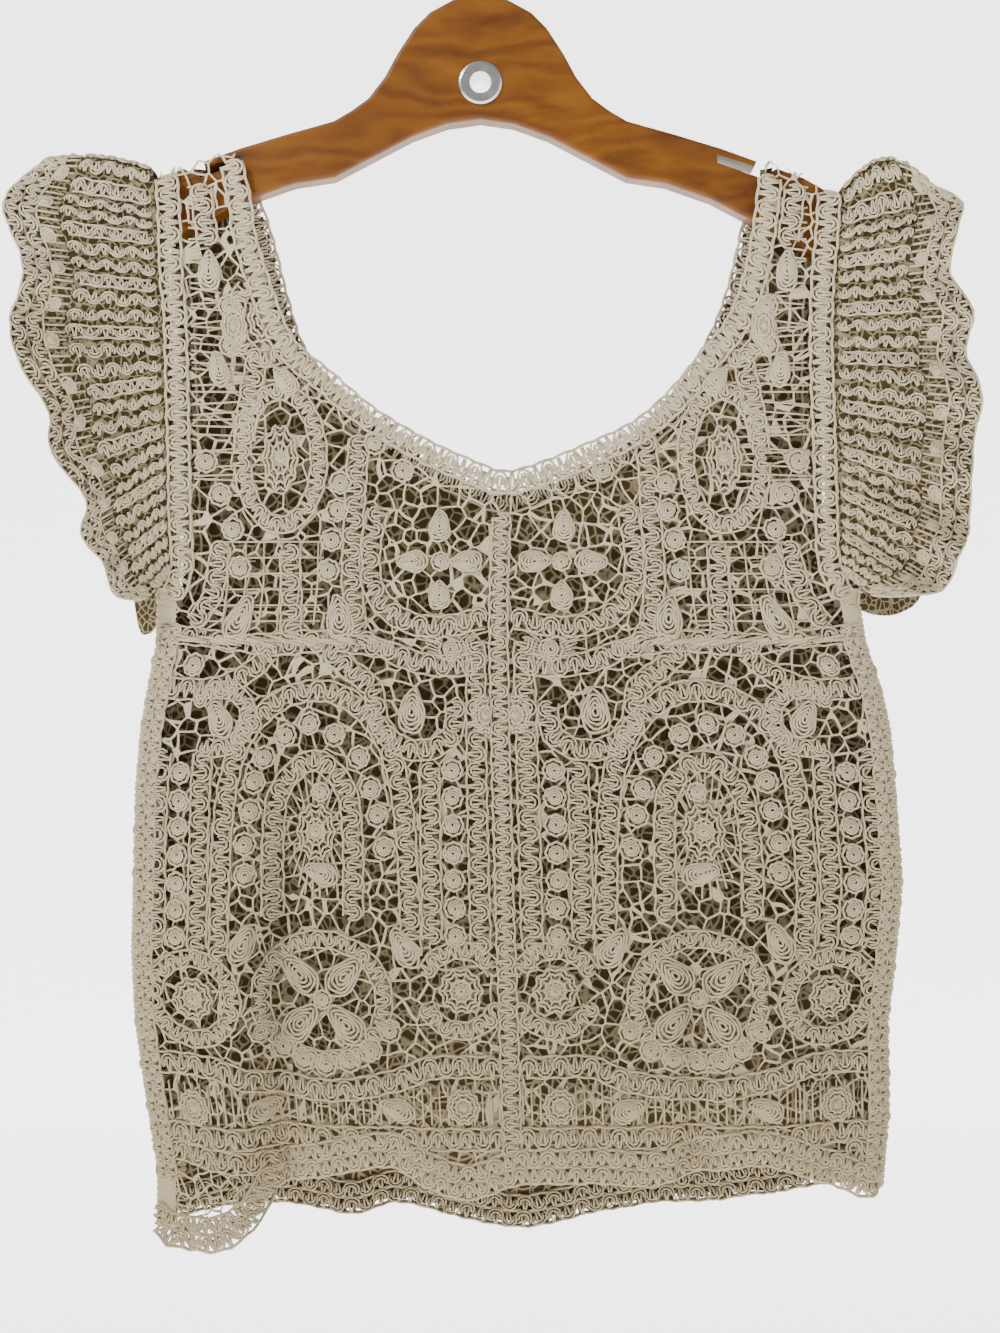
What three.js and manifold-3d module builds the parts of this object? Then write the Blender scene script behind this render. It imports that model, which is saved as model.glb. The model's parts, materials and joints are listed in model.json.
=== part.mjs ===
// Crochet lace top with flutter sleeves on a wooden hanger. Millimetres, +Z up, front faces -Y.
// The origin is where the inside of the hook rests on its rail.
import * as THREE from "three";
import { mergeVertices } from "three/addons/utils/BufferGeometryUtils.js";
import Module from "manifold-3d";

const wasm = await Module();
wasm.setup();

const front = -1;
const back = 1;

const cloth = {
  wall: 2,          // thickness of the crocheted wall
  seamGap: 0.3,     // between pieces that are sewn together
  hemGap: 0.7,
  cutAllowance: 3,  // cloth past a seam before it is trimmed
  bandWidth: 11.4,  // neck and armhole bands
  centreBand: 9.6,
  hemBand: 16,
  seamShare: 0.946, // the side seam strips start at this share of the half width
  roundness: 2.6,   // exponent of the body's cross-section
  shoulderDepth: 9.4,
  shoulderDrop: 8,
  shoulderRise: 2.2
};

const hanger = {
  thickness: 14,
  edgeRound: 2,
  holeRadius: 7.2,
  eyeletHeight: -115,
  boreRadius: 2.2,
  boreBottom: -98
};

const hook = {
  wireRadius: 1.9,
  bendRadius: 21
};

// Half of the hanger's upper and lower edge, from the middle to the arm's end.
const woodUpper = [
  { x: 0, z: -70 }, { x: 14, z: -72 }, { x: 26, z: -78.5 }, { x: 34, z: -86.5 }, { x: 42.5, z: -99.5 },
  { x: 49, z: -111.5 }, { x: 57.5, z: -122.5 }, { x: 66.5, z: -129 }, { x: 75, z: -134 },
  { x: 100, z: -141 }, { x: 123, z: -148 }, { x: 165, z: -163 }, { x: 190, z: -177 },
  { x: 205, z: -188 }, { x: 214, z: -198 }
];
const woodLower = [
  { x: 217, z: -208 }, { x: 214, z: -220 }, { x: 205, z: -226 }, { x: 188, z: -215 },
  { x: 160, z: -196 }, { x: 118, z: -174 }, { x: 95, z: -166 }, { x: 75, z: -163 },
  { x: 55, z: -152.5 }, { x: 35, z: -142 }, { x: 17, z: -135.5 }, { x: 0, z: -133 }
];

// The body's outline and depth at each height: left and right side, half depth.
const bodySections = [
  { z: -150, left: -886, right: 914, depth: 9.4 },
  { z: -220, left: -486, right: 514, depth: 10.6 },
  { z: -300, left: -226, right: 254, depth: 14.5 },
  { z: -340, left: -191, right: 219, depth: 17 },
  { z: -380, left: -166, right: 194.5, depth: 19 },
  { z: -402, left: -166.5, right: 198, depth: 19.5 },
  { z: -425, left: -171, right: 206, depth: 20 },
  { z: -446, left: -174.5, right: 210.5, depth: 20.5 },
  { z: -475, left: -177, right: 213, depth: 21 },
  { z: -523, left: -178, right: 216.5, depth: 22.5 },
  { z: -558, left: -179, right: 213.5, depth: 24 },
  { z: -596, left: -177, right: 209, depth: 26 },
  { z: -640, left: -170.5, right: 209.5, depth: 28 },
  { z: -670, left: -165.5, right: 207, depth: 29 },
  { z: -715, left: -165.5, right: 204, depth: 30 }
];

// Where the middle band runs.
const centreLine = [
  { z: -316.5, x: 11.5 }, { z: -385, x: 9 }, { z: -465, x: 10.5 }, { z: -539, x: 12.5 },
  { z: -580, x: 14 }, { z: -645, x: 16 }, { z: -715, x: 18 }
];

// Free edge of the neckline below the shoulders, left to right.
const frontNeck = [
  { x: -119, z: -178 }, { x: -116, z: -192 }, { x: -108.5, z: -216 },
  { x: -96, z: -245 }, { x: -75, z: -264 }, { x: -53.5, z: -282 }, { x: -26, z: -299.5 },
  { x: -5, z: -309.5 }, { x: 11.5, z: -316.5 }, { x: 29, z: -311.5 }, { x: 55, z: -300.5 },
  { x: 77, z: -289.5 }, { x: 95, z: -274 }, { x: 111, z: -255 }, { x: 125.5, z: -236.5 },
  { x: 134, z: -216 }, { x: 138, z: -196 }, { x: 140.5, z: -178 }
];
const backNeck = [
  { x: -113, z: -178 }, { x: -107, z: -198 }, { x: -101, z: -222 },
  { x: -92, z: -246 }, { x: -73, z: -268 }, { x: -52, z: -287 }, { x: -26, z: -305 },
  { x: -5, z: -315.5 }, { x: 12, z: -322 }, { x: 29, z: -318 }, { x: 55, z: -306 },
  { x: 76, z: -294 }, { x: 93, z: -278 }, { x: 108, z: -258 }, { x: 121, z: -237 },
  { x: 129, z: -216 }, { x: 134, z: -196 }, { x: 138, z: -178 }
];

// Armhole band below the shoulders: the edge that carries the ruffle and the edge on the panel.
const leftArmhole = [
  { outerX: -164.8, outerZ: -180, innerX: -153.4, innerZ: -180 },
  { outerX: -163.5, outerZ: -200, innerX: -152.1, innerZ: -200 },
  { outerX: -162.7, outerZ: -217, innerX: -151.3, innerZ: -217 },
  { outerX: -160.7, outerZ: -236, innerX: -149.3, innerZ: -236 },
  { outerX: -159.4, outerZ: -270, innerX: -148, innerZ: -270 },
  { outerX: -158.4, outerZ: -303, innerX: -147, innerZ: -303 },
  { outerX: -158.2, outerZ: -335, innerX: -146.8, innerZ: -335 },
  { outerX: -157.6, outerZ: -355, innerX: -146.2, innerZ: -358 },
  { outerX: -157.2, outerZ: -364, innerX: -147.8, innerZ: -372 },
  { outerX: -156.9, outerZ: -370, innerX: -155.9, innerZ: -384 }
];
const rightArmhole = [
  { outerX: 182.6, outerZ: -184, innerX: 171.2, innerZ: -184 },
  { outerX: 180.9, outerZ: -200, innerX: 169.5, innerZ: -200 },
  { outerX: 179.9, outerZ: -217, innerX: 168.5, innerZ: -217 },
  { outerX: 179.1, outerZ: -240, innerX: 167.7, innerZ: -240 },
  { outerX: 179.4, outerZ: -270, innerX: 168, innerZ: -270 },
  { outerX: 180.4, outerZ: -303, innerX: 169, innerZ: -303 },
  { outerX: 181, outerZ: -335, innerX: 169.6, innerZ: -335 },
  { outerX: 182.4, outerZ: -355, innerX: 171.2, innerZ: -358 },
  { outerX: 183.6, outerZ: -364, innerX: 175.6, innerZ: -374 },
  { outerX: 184.3, outerZ: -370, innerX: 184.7, innerZ: -384 }
];

// The bottom edge of the hem, front and back.
const frontHem = [
  { x: -172, z: -699 }, { x: -156.5, z: -705.5 }, { x: -131, z: -702.5 }, { x: -113, z: -690 },
  { x: -102.5, z: -673.5 }, { x: -73.5, z: -665.5 }, { x: -44, z: -662 }, { x: -25.5, z: -671 },
  { x: -5, z: -676.5 }, { x: 20.5, z: -670 }, { x: 65, z: -669.5 }, { x: 88, z: -671 },
  { x: 137.5, z: -661 }, { x: 173, z: -672 }, { x: 194.5, z: -681 }, { x: 212, z: -681 }
];
const backHem = [
  { x: -172, z: -699 }, { x: -130, z: -696 }, { x: -102, z: -698 }, { x: -66, z: -700 },
  { x: -44, z: -696 }, { x: -9, z: -705 }, { x: 14, z: -709 }, { x: 38, z: -707 },
  { x: 65, z: -701 }, { x: 106, z: -698 }, { x: 133, z: -692 }, { x: 158, z: -688 },
  { x: 190, z: -682 }, { x: 212, z: -681 }
];

// Folds of the body: where each runs, how far it stands out, its half width, and between which heights.
const frontFolds = [
  { x: -128, lean: -4, rise: 9, width: 20, from: -425, to: -520 },
  { x: -98, lean: 0, rise: -6, width: 10, from: -470, to: -560 },
  { x: 107, lean: 3, rise: -5, width: 12, from: -470, to: -560 },
  { x: 140, lean: 4, rise: 4, width: 18, from: -480, to: -600 },
  { x: 52, lean: 2, rise: 3, width: 22, from: -560, to: -660 },
  { x: -30, lean: -2, rise: 4, width: 18, from: -580, to: -660 }
];
const backFolds = [
  { x: -110, lean: -4, rise: 6, width: 20, from: -430, to: -560 },
  { x: -60, lean: -2, rise: -5, width: 14, from: -520, to: -620 },
  { x: 30, lean: 2, rise: -2.5, width: 18, from: -560, to: -650 },
  { x: 96, lean: 4, rise: 6, width: 20, from: -440, to: -560 },
  { x: 150, lean: 3, rise: -4, width: 14, from: -520, to: -620 }
];

// The sleeve ruffles: for each flute, where it leaves the armhole and where its edge hangs.
const leftRuffle = [
  { rootZ: -365, edgeX: -166, edgeZ: -379, frontY: -17, backY: 17, backDrop: 4 },
  { rootZ: -352, edgeX: -182, edgeZ: -378, frontY: -27, backY: 24, backDrop: 18 },
  { rootZ: -336, edgeX: -190, edgeZ: -361, frontY: -18, backY: 30, backDrop: 6 },
  { rootZ: -320, edgeX: -198, edgeZ: -348, frontY: -33, backY: 20, backDrop: 8 },
  { rootZ: -304, edgeX: -198, edgeZ: -330, frontY: -19, backY: 34, backDrop: 4 },
  { rootZ: -288, edgeX: -212, edgeZ: -307, frontY: -36, backY: 22, backDrop: 4 },
  { rootZ: -272, edgeX: -217, edgeZ: -285, frontY: -20, backY: 36, backDrop: 2 },
  { rootZ: -256, edgeX: -228, edgeZ: -263, frontY: -35, backY: 22, backDrop: 3 },
  { rootZ: -240, edgeX: -237, edgeZ: -239, frontY: -19, backY: 34, backDrop: 2 },
  { rootZ: -224, edgeX: -228, edgeZ: -221, frontY: -30, backY: 18, backDrop: 3 },
  { rootZ: -208, edgeX: -233, edgeZ: -203, frontY: -16, backY: 28, backDrop: 2 },
  { rootZ: -192, edgeX: -239, edgeZ: -184, frontY: -24, backY: 16, backDrop: 0 },
  { rootZ: -180, edgeX: -236, edgeZ: -169, frontY: -13, backY: 18, backDrop: 0 }
];
const rightRuffle = [
  { rootZ: -365, edgeX: 196, edgeZ: -377, frontY: -17, backY: 17, backDrop: 4 },
  { rootZ: -354, edgeX: 215, edgeZ: -378, frontY: -30, backY: 22, backDrop: 8 },
  { rootZ: -341, edgeX: 234, edgeZ: -374, frontY: -19, backY: 32, backDrop: 6 },
  { rootZ: -327, edgeX: 238, edgeZ: -357, frontY: -35, backY: 20, backDrop: 6 },
  { rootZ: -313, edgeX: 246, edgeZ: -344, frontY: -20, backY: 36, backDrop: 3 },
  { rootZ: -299, edgeX: 243, edgeZ: -321, frontY: -37, backY: 22, backDrop: 4 },
  { rootZ: -284, edgeX: 248, edgeZ: -298, frontY: -22, backY: 38, backDrop: 2 },
  { rootZ: -268, edgeX: 248, edgeZ: -279, frontY: -38, backY: 22, backDrop: 3 },
  { rootZ: -252, edgeX: 244, edgeZ: -255, frontY: -21, backY: 36, backDrop: 2 },
  { rootZ: -236, edgeX: 245, edgeZ: -237, frontY: -33, backY: 20, backDrop: 2 },
  { rootZ: -220, edgeX: 237, edgeZ: -215, frontY: -18, backY: 30, backDrop: 2 },
  { rootZ: -204, edgeX: 238, edgeZ: -197, frontY: -27, backY: 16, backDrop: 0 },
  { rootZ: -190, edgeX: 244, edgeZ: -178, frontY: -14, backY: 18, backDrop: 0 }
];

const ruffleTop = {
  left: { rootX: -166.6, edgeX: -224, edgeZ: -155, lift: 4 },
  right: { rootX: 184, edgeX: 230, edgeZ: -166, lift: 14 }
};

function lerp(a, b, t) {
  return a + (b - a) * t;
}

function smooth(t) {
  const clamped = Math.min(1, Math.max(0, t));
  return clamped * clamped * (3 - 2 * clamped);
}

// Value of one column of a table at a given place in another, straight between its rows.
function lookUp(table, key, at, column) {
  const rows = [...table].sort((a, b) => a[key] - b[key]);
  if (at <= rows[0][key]) {
    return rows[0][column];
  }
  for (let i = 1; i < rows.length; i += 1) {
    if (at <= rows[i][key]) {
      const t = (at - rows[i - 1][key]) / (rows[i][key] - rows[i - 1][key]);
      return lerp(rows[i - 1][column], rows[i][column], t);
    }
  }
  return rows[rows.length - 1][column];
}

function centreAt(z) {
  return lookUp(centreLine, "z", z, "x");
}

function sideAt(z, side) {
  const left = lookUp(bodySections, "z", z, "left");
  const right = lookUp(bodySections, "z", z, "right");
  const middle = (left + right) / 2;
  return middle + side * cloth.seamShare * (right - left) / 2;
}

function foldAt(folds, x, z) {
  let sum = 0;
  for (const fold of folds) {
    const grown = smooth((fold.from - z) / (fold.from - fold.to));
    const line = fold.x + fold.lean * smooth((fold.from - z) / 260);
    sum += fold.rise * grown * Math.exp(-(((x - line) / fold.width) ** 2));
  }
  return sum;
}

function shoulderTop(x) {
  return lookUp(woodUpper, "x", Math.abs(x), "z") + cloth.shoulderRise;
}

// A point of the body's wall on its front or back face.
function onBody(face, x, z) {
  const left = lookUp(bodySections, "z", z, "left");
  const right = lookUp(bodySections, "z", z, "right");
  const depth = lookUp(bodySections, "z", z, "depth");
  const share = Math.min(1, Math.abs(x - (left + right) / 2) / ((right - left) / 2));
  const flat = (1 - share ** cloth.roundness) ** (1 / cloth.roundness);
  const folds = foldAt(face === front ? frontFolds : backFolds, x, z);
  return new THREE.Vector3(x, face * (depth * flat + folds * smooth((1 - share) / 0.12)), z);
}

// A point on the arch over the hanger's arm: turn 0 is the top, 1 is where the cloth hangs free.
function overShoulder(face, x, turn) {
  const angle = turn * Math.PI / 2;
  const y = cloth.shoulderDepth * Math.sin(angle) ** 0.5;
  const fall = cloth.shoulderDrop * (1 - Math.cos(angle) ** 0.5);
  return new THREE.Vector3(x, face * y, shoulderTop(x) - fall);
}

const neckEnds = { left: -123, right: 142.5 };
const shoulderTurns = [0, 0.12, 0.35, 0.65, 1];

function shoulderRows(face, innerX, outerX, columns) {
  return shoulderTurns.map((turn) => {
    const row = [];
    for (let j = 0; j <= columns; j += 1) {
      row.push(overShoulder(face, lerp(innerX, outerX, j / columns), turn));
    }
    return row;
  });
}

// Normals of a grid of points from its neighbours.
function gridNormals(grid) {
  return grid.map((row, i) => row.map((unused, j) => {
    const above = grid[Math.max(0, i - 1)][j];
    const below = grid[Math.min(grid.length - 1, i + 1)][j];
    const before = row[Math.max(0, j - 1)];
    const after = row[Math.min(row.length - 1, j + 1)];
    const down = below.clone().sub(above);
    const along = after.clone().sub(before);
    return down.cross(along).normalize();
  }));
}

// A closed wall of even thickness about a grid of points.
function wallGeometry(grid, normals = gridNormals(grid)) {
  const rows = grid.length;
  const columns = grid[0].length;
  const positions = [];
  for (const offset of [cloth.wall / 2, -cloth.wall / 2]) {
    for (let i = 0; i < rows; i += 1) {
      for (let j = 0; j < columns; j += 1) {
        const point = grid[i][j].clone().addScaledVector(normals[i][j], offset);
        positions.push(point.x, point.y, point.z);
      }
    }
  }
  const layer = rows * columns;
  const index = [];
  const quad = (a, b, c, d) => index.push(a, b, c, a, c, d);
  for (let i = 0; i + 1 < rows; i += 1) {
    for (let j = 0; j + 1 < columns; j += 1) {
      const at = i * columns + j;
      quad(at, at + columns, at + columns + 1, at + 1);
      quad(layer + at, layer + at + 1, layer + at + columns + 1, layer + at + columns);
    }
  }
  for (let j = 0; j + 1 < columns; j += 1) {
    const low = (rows - 1) * columns + j;
    quad(j, j + 1, layer + j + 1, layer + j);
    quad(low + 1, low, layer + low, layer + low + 1);
  }
  for (let i = 0; i + 1 < rows; i += 1) {
    const first = i * columns;
    const last = first + columns - 1;
    quad(first + columns, first, layer + first, layer + first + columns);
    quad(last, last + columns, layer + last + columns, layer + last);
  }
  return facingOut(positions, index);
}

// Turns the faces outward when they were wound the other way round.
function facingOut(positions, index) {
  let volume = 0;
  const corner = (k) => new THREE.Vector3().fromArray(positions, index[k] * 3);
  for (let k = 0; k < index.length; k += 3) {
    volume += corner(k).dot(corner(k + 1).cross(corner(k + 2)));
  }
  const ordered = [...index];
  if (volume < 0) {
    for (let k = 0; k < ordered.length; k += 3) {
      [ordered[k + 1], ordered[k + 2]] = [ordered[k + 2], ordered[k + 1]];
    }
  }
  const geometry = new THREE.BufferGeometry();
  geometry.setAttribute("position", new THREE.Float32BufferAttribute(positions, 3));
  geometry.setIndex(ordered);
  geometry.computeVertexNormals();
  return geometry;
}

// The neckline moved away from its free edge by a distance, each side kept falling to the middle.
function neckOffset(neck, distance) {
  return neck.map((spot, i) => {
    const before = neck[Math.max(0, i - 1)];
    const after = neck[Math.min(neck.length - 1, i + 1)];
    const dx = after.x - before.x;
    const dz = after.z - before.z;
    const length = Math.hypot(dx, dz);
    return { x: spot.x + dz / length * distance, z: spot.z - dx / length * distance };
  });
}

function neckBand(face) {
  const neck = face === front ? frontNeck : backNeck;
  const widths = [0, cloth.bandWidth / 2, cloth.bandWidth];
  const lines = widths.map((width) => neckOffset(neck, width));
  const rows = [];
  for (const turn of shoulderTurns) {
    rows.push(widths.map((width) => overShoulder(face, neckEnds.left - width, turn)));
  }
  neck.forEach((unused, i) => {
    rows.push(lines.map((line) => onBody(face, line[i].x, line[i].z)));
  });
  for (const turn of [...shoulderTurns].reverse()) {
    rows.push(widths.map((width) => overShoulder(face, neckEnds.right + width, turn)));
  }
  return halfGap(rows, face);
}

// Takes half a seam gap off the first row of a piece that meets its twin over the shoulder.
function halfGap(rows, face) {
  const away = face * cloth.seamGap / 2;
  for (const row of [rows[0], rows[rows.length - 1]]) {
    for (const point of row) {
      if (Math.abs(point.y) < 0.01) {
        point.y = away;
      }
    }
  }
  return rows;
}

// The panel's edge beside the neckline, or beside the middle band below it.
function innerEdge(face, side, z) {
  const neck = face === front ? frontNeck : backNeck;
  const line = neckOffset(neck, cloth.bandWidth + cloth.seamGap);
  const middle = line.findIndex((spot) => Math.abs(spot.x - 12) < 3);
  const half = side < 0 ? line.slice(0, middle + 1) : line.slice(middle);
  const beside = centreAt(z) + side * (cloth.centreBand / 2 + cloth.seamGap);
  if (z <= line[middle].z) {
    return beside;
  }
  const x = lookUp(half, "z", z, "x") - side * cloth.cutAllowance;
  return side < 0 ? Math.min(x, beside) : Math.max(x, beside);
}

function outerEdge(side, z) {
  const armhole = side < 0 ? leftArmhole : rightArmhole;
  const last = armhole[armhole.length - 1];
  if (z <= last.innerZ) {
    return sideAt(z, side) + side * cloth.seamGap;
  }
  return lookUp(armhole, "innerZ", z, "innerX") + side * cloth.cutAllowance;
}

function hemTop(face, x) {
  return lookUp(face === front ? frontHem : backHem, "x", x, "z") + cloth.hemBand;
}

const panelHeights = [
  -179, -192, -210, -228, -246, -264, -282, -300, -316, -330, -350, -370, -384, -396,
  -420, -445, -470, -496, -522, -548, -574, -600, -624, -648
];

function panel(face, side) {
  const columns = 7;
  const neckX = side < 0 ? neckEnds.left : neckEnds.right;
  const shoulderIn = neckX + side * (cloth.bandWidth - cloth.cutAllowance);
  const armhole = side < 0 ? leftArmhole : rightArmhole;
  const shoulderOut = armhole[0].innerX + side * cloth.cutAllowance;
  const rows = shoulderRows(face, shoulderIn, shoulderOut, columns);
  for (const z of panelHeights) {
    const row = [];
    for (let j = 0; j <= columns; j += 1) {
      const level = lerp(innerEdge(face, side, z), outerEdge(side, z), j / columns);
      const low = lerp(z, hemShape(face, level, z), smooth((-560 - z) / 88));
      const x = lerp(innerEdge(face, side, low), outerEdge(side, low), j / columns);
      row.push(onBody(face, x, low));
    }
    rows.push(row);
  }
  return halfGap(rows, face);
}

// The lowest panel row follows the top of the hem band, and reaches a little past it.
function hemShape(face, x, z) {
  const lowest = panelHeights[panelHeights.length - 1];
  return hemTop(face, x) - cloth.cutAllowance + (z - lowest);
}

// A block right through the body whose front view is the given outline.
function block(outline) {
  const shape = new THREE.Shape(outline.map((spot) => new THREE.Vector2(spot.x, spot.z)));
  const geometry = new THREE.ExtrudeGeometry(shape, { depth: 200, bevelEnabled: false });
  geometry.translate(0, 0, -100);
  geometry.rotateX(Math.PI / 2);
  return toSolid(geometry);
}

function neckBlock(face) {
  const neck = face === front ? frontNeck : backNeck;
  const reach = cloth.bandWidth + cloth.seamGap;
  const left = neckEnds.left - reach - 0.2;
  const right = neckEnds.right + reach + 0.2;
  return block([
    { x: left, z: -100 },
    { x: left, z: shoulderTop(left) - cloth.shoulderDrop },
    ...neckOffset(neck, reach),
    { x: right, z: shoulderTop(right) - cloth.shoulderDrop },
    { x: right, z: -100 }
  ]);
}

function armholeBlock(side) {
  const armhole = side < 0 ? leftArmhole : rightArmhole;
  const shoulderX = armhole[0].innerX + side - side * (cloth.seamGap + 0.45);
  const last = armhole[armhole.length - 1];
  return block([
    { x: shoulderX, z: -100 },
    { x: shoulderX, z: shoulderTop(shoulderX) - cloth.shoulderDrop },
    ...armhole.map((spot) => ({ x: spot.innerX - side * cloth.seamGap, z: spot.innerZ - cloth.seamGap })),
    { x: side * 400, z: last.innerZ - cloth.seamGap },
    { x: side * 400, z: -100 }
  ]);
}

function hemBlock(face) {
  const line = hemStrip(face).map((row) => ({ x: row[0].x, z: row[0].z + cloth.hemGap }));
  const first = line[0];
  const last = line[line.length - 1];
  return block([
    { x: -400, z: first.z }, ...line, { x: 400, z: last.z }, { x: 400, z: -800 }, { x: -400, z: -800 }
  ]);
}

// Everything beside the side seam strip's edge: beyond it, or towards the middle from it.
function sideBlock(side, beyond) {
  const start = beyond ? -370.7 : -360;
  const line = [];
  for (let z = start; z > -725; z -= 9) {
    line.push({ x: sideAt(z, side) - (beyond ? side * cloth.seamGap : 0), z });
  }
  const last = line[line.length - 1];
  const reach = beyond ? side * 400 : -side * 400;
  return block([...line, { x: reach, z: last.z }, { x: reach, z: start }]);
}

// A wall trimmed by blocks.
function trimmed(geometry, blocks) {
  let solid = toSolid(geometry);
  for (const cut of blocks) {
    solid = solid.subtract(cut);
  }
  return fromSolid(solid);
}

function centreStrip(face) {
  const neck = face === front ? frontNeck : backNeck;
  const top = neckOffset(neck, cloth.bandWidth).find((spot) => Math.abs(spot.x - 12) < 3).z - 2;
  const rows = [];
  for (let i = 0; i <= 20; i += 1) {
    const z = lerp(top, -648, i / 20);
    const low = lerp(z, hemShape(face, centreAt(z), z), smooth((-560 - z) / 88));
    const row = [-1, 0, 1].map((across) => {
      return onBody(face, centreAt(low) + across * cloth.centreBand / 2, low);
    });
    rows.push(row);
  }
  return rows;
}

function armholeStrip(face, side) {
  const armhole = side < 0 ? leftArmhole : rightArmhole;
  const rows = [];
  for (const turn of shoulderTurns) {
    rows.push([0, 0.5, 1].map((across) => {
      const x = lerp(armhole[0].innerX, armhole[0].outerX, across) + side;
      return overShoulder(face, x, turn);
    }));
  }
  for (const spot of armhole) {
    rows.push([0, 0.5, 1].map((across) => {
      const x = lerp(spot.innerX, spot.outerX, across);
      return onBody(face, x, lerp(spot.innerZ, spot.outerZ, across));
    }));
  }
  return halfGap(rows, face);
}

// A strip round the side of the body, from the front panel to the back panel.
function sideStrip(side) {
  const heights = [-371, -377, -384, -396, -414, -432, -450, -470, -490, -510, -530, -550, -570, -590, -610, -630, -650, -666];
  const shares = [-0.12, 0.3, 0.65, 1];
  const hemZ = side < 0 ? -699.5 : -681;
  return [...heights, hemZ].map((z) => {
    const left = lookUp(bodySections, "z", z, "left");
    const right = lookUp(bodySections, "z", z, "right");
    const row = [];
    for (const face of [front, back]) {
      for (const part of face === front ? shares : [...shares].reverse().slice(1)) {
        const reach = lerp(cloth.seamShare, 1, smoothEdge(part));
        row.push(onBody(face, (left + right) / 2 + side * reach * (right - left) / 2, z));
      }
    }
    return row;
  });
}

function smoothEdge(part) {
  return part < 0 ? part : 1 - (1 - part) ** 1.8;
}

function hemStrip(face) {
  const rows = [];
  const count = 36;
  for (let i = 0; i <= count; i += 1) {
    const row = [];
    for (const drop of [0, 0.5, 1]) {
      const x = lerp(-156, 196, i / count);
      const low = lookUp(face === front ? frontHem : backHem, "x", x, "z");
      const z = low + cloth.hemBand * (1 - drop);
      const first = sideAt(z, -1) - cloth.seamGap;
      const last = sideAt(z, 1) + cloth.seamGap;
      const spread = lerp(first, last, i / count);
      row.push(onBody(face, spread, z));
    }
    rows.push(row);
  }
  return rows;
}

// One flute line of a ruffle, from its root on the armhole band to its edge.
function fluteLine(root, edge, lift) {
  const line = [];
  const steps = 4;
  for (let k = 0; k <= steps; k += 1) {
    const t = k / steps;
    const out = t ** 1.25;
    const point = new THREE.Vector3();
    point.x = lerp(root.x, edge.x, t);
    point.y = lerp(root.y, edge.y, out);
    point.z = lerp(root.z, edge.z, t) + lift * Math.sin(Math.PI * t);
    line.push(point);
  }
  return line;
}

function armholeOuter(side, z) {
  return lookUp(side < 0 ? leftArmhole : rightArmhole, "outerZ", z, "outerX");
}

function ruffle(side) {
  const table = side < 0 ? leftRuffle : rightRuffle;
  const top = side < 0 ? ruffleTop.left : ruffleTop.right;
  const keys = [];
  const gap = 0.5;
  for (const flute of table) {
    const root = onBody(front, armholeOuter(side, flute.rootZ) + side * gap, flute.rootZ);
    keys.push({ root, edge: new THREE.Vector3(flute.edgeX, flute.frontY, flute.edgeZ), lift: 0 });
  }
  const frontCrest = overShoulder(front, top.rootX + side * gap, 0.5);
  const crest = overShoulder(front, top.rootX + side * gap, 0);
  const backCrest = overShoulder(back, top.rootX + side * gap, 0.5);
  keys.push({ root: frontCrest, edge: new THREE.Vector3(top.edgeX - side * 2, -12, top.edgeZ - 2), lift: top.lift * 0.8 });
  keys.push({ root: crest, edge: new THREE.Vector3(top.edgeX, 0, top.edgeZ), lift: top.lift });
  keys.push({ root: backCrest, edge: new THREE.Vector3(top.edgeX - side * 3, 12, top.edgeZ - 3), lift: top.lift * 0.8 });
  for (const flute of [...table].reverse()) {
    const root = onBody(back, armholeOuter(side, flute.rootZ) + side * gap, flute.rootZ);
    const edge = new THREE.Vector3(flute.edgeX - side * 3, flute.backY, flute.edgeZ - flute.backDrop);
    keys.push({ root, edge, lift: 0 });
  }
  return fluteRows(keys);
}

// Rows between the flutes, bent through them.
function fluteRows(keys) {
  const roots = new THREE.CatmullRomCurve3(keys.map((key) => key.root));
  const edges = new THREE.CatmullRomCurve3(keys.map((key) => key.edge));
  const rows = [];
  const steps = (keys.length - 1) * 2;
  for (let i = 0; i <= steps; i += 1) {
    const t = i / steps;
    const near = keys[Math.min(keys.length - 1, Math.round(t * (keys.length - 1)))];
    rows.push(fluteLine(roots.getPoint(t), edges.getPoint(t), near.lift));
  }
  return rows;
}

function ruffleGeometry(side) {
  const grid = ruffle(side);
  const normals = gridNormals(grid);
  normals.forEach((row, i) => {
    const root = grid[i][0];
    const facing = new THREE.Vector3(0, root.y < 0 ? -1 : 1, 0);
    if (Math.abs(root.y) < 8) {
      facing.set(0, root.y / 10, 1).normalize();
    }
    if (facing.dot(row[0]) < 0) {
      facing.negate();
    }
    row[0].copy(facing);
  });
  return wallGeometry(grid, normals);
}

function toSolid(geometry) {
  const bare = geometry.clone();
  bare.deleteAttribute("normal");
  bare.deleteAttribute("uv");
  const merged = mergeVertices(bare, 0.0005);
  return new wasm.Manifold(new wasm.Mesh({
    numProp: 3,
    vertProperties: new Float32Array(merged.attributes.position.array),
    triVerts: new Uint32Array(merged.index.array)
  }));
}

function fromSolid(solid) {
  const mesh = solid.getMesh();
  const geometry = new THREE.BufferGeometry();
  geometry.setAttribute("position", new THREE.Float32BufferAttribute(mesh.vertProperties, 3));
  geometry.setIndex([...mesh.triVerts]);
  geometry.computeVertexNormals();
  return geometry;
}

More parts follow.
